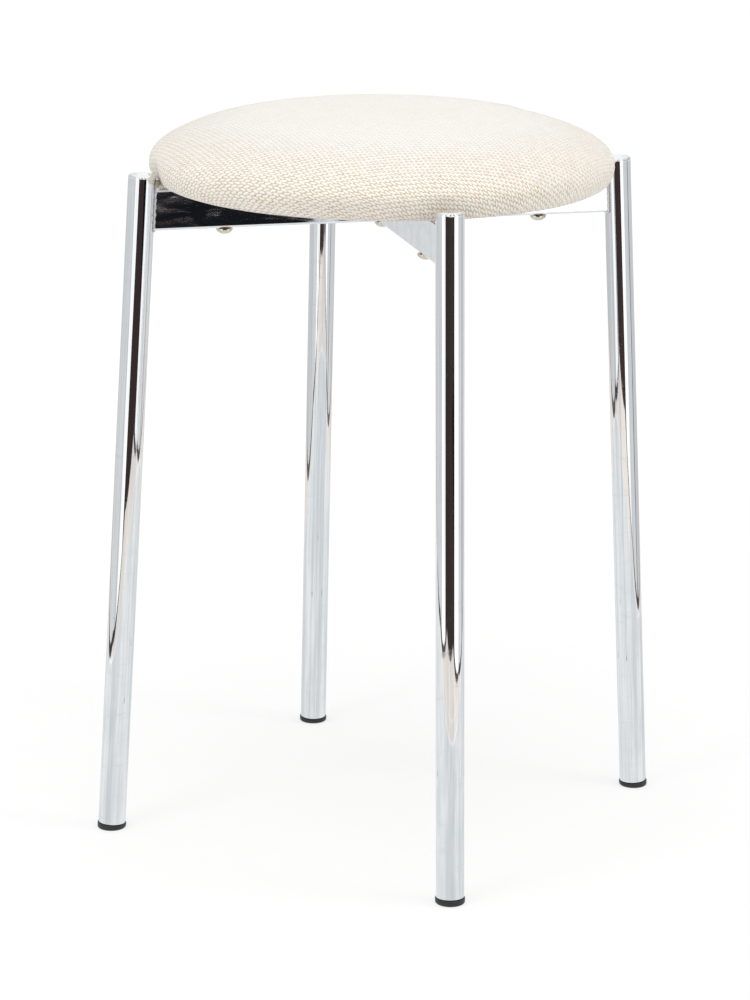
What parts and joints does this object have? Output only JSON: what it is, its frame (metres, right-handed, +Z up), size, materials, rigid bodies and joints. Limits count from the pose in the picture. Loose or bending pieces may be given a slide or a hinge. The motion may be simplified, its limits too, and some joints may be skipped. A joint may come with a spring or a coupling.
{
  "type": "stool",
  "caption": "Low round stool: a crowned, fabric-covered seat bolted to crossed bars that are welded between splayed chromed tube legs with plastic glides.",
  "frame": {"origin": "on the floor under the middle of the seat", "axes": "+Z up, +X to the right leg, +Y to the back leg"},
  "size_m": [0.427, 0.427, 0.5298],
  "materials": {
    "chrome": "polished",
    "nickel": "polished",
    "zinc": "satin",
    "black_plastic": "satin",
    "plywood": "matte",
    "foam": "matte",
    "woven_cover": "matte"
  },
  "bodies": {
    "root": {"leg_right": "chrome", "glide_right": "black_plastic", "end_weld_right": "chrome", "seat_bolt_right": "nickel", "pronged_nut_right": "zinc", "leg_back": "chrome", "glide_back": "black_plastic", "end_weld_back": "chrome", "seat_bolt_back": "nickel", "pronged_nut_back": "zinc", "leg_left": "chrome", "glide_left": "black_plastic", "end_weld_left": "chrome", "seat_bolt_left": "nickel", "pronged_nut_left": "zinc", "leg_front": "chrome", "glide_front": "black_plastic", "end_weld_front": "chrome", "seat_bolt_front": "nickel", "pronged_nut_front": "zinc", "long_bar": "chrome", "half_bar_front": "chrome", "half_bar_back": "chrome", "corner_weld_back_right": "chrome", "corner_weld_back_left": "chrome", "corner_weld_front_left": "chrome", "corner_weld_front_right": "chrome", "seat_bolt_middle": "nickel", "pronged_nut_middle": "zinc", "seat_board": "plywood", "seat_foam": "foam", "seat_cover": "woven_cover"}
  },
  "joints": []
}
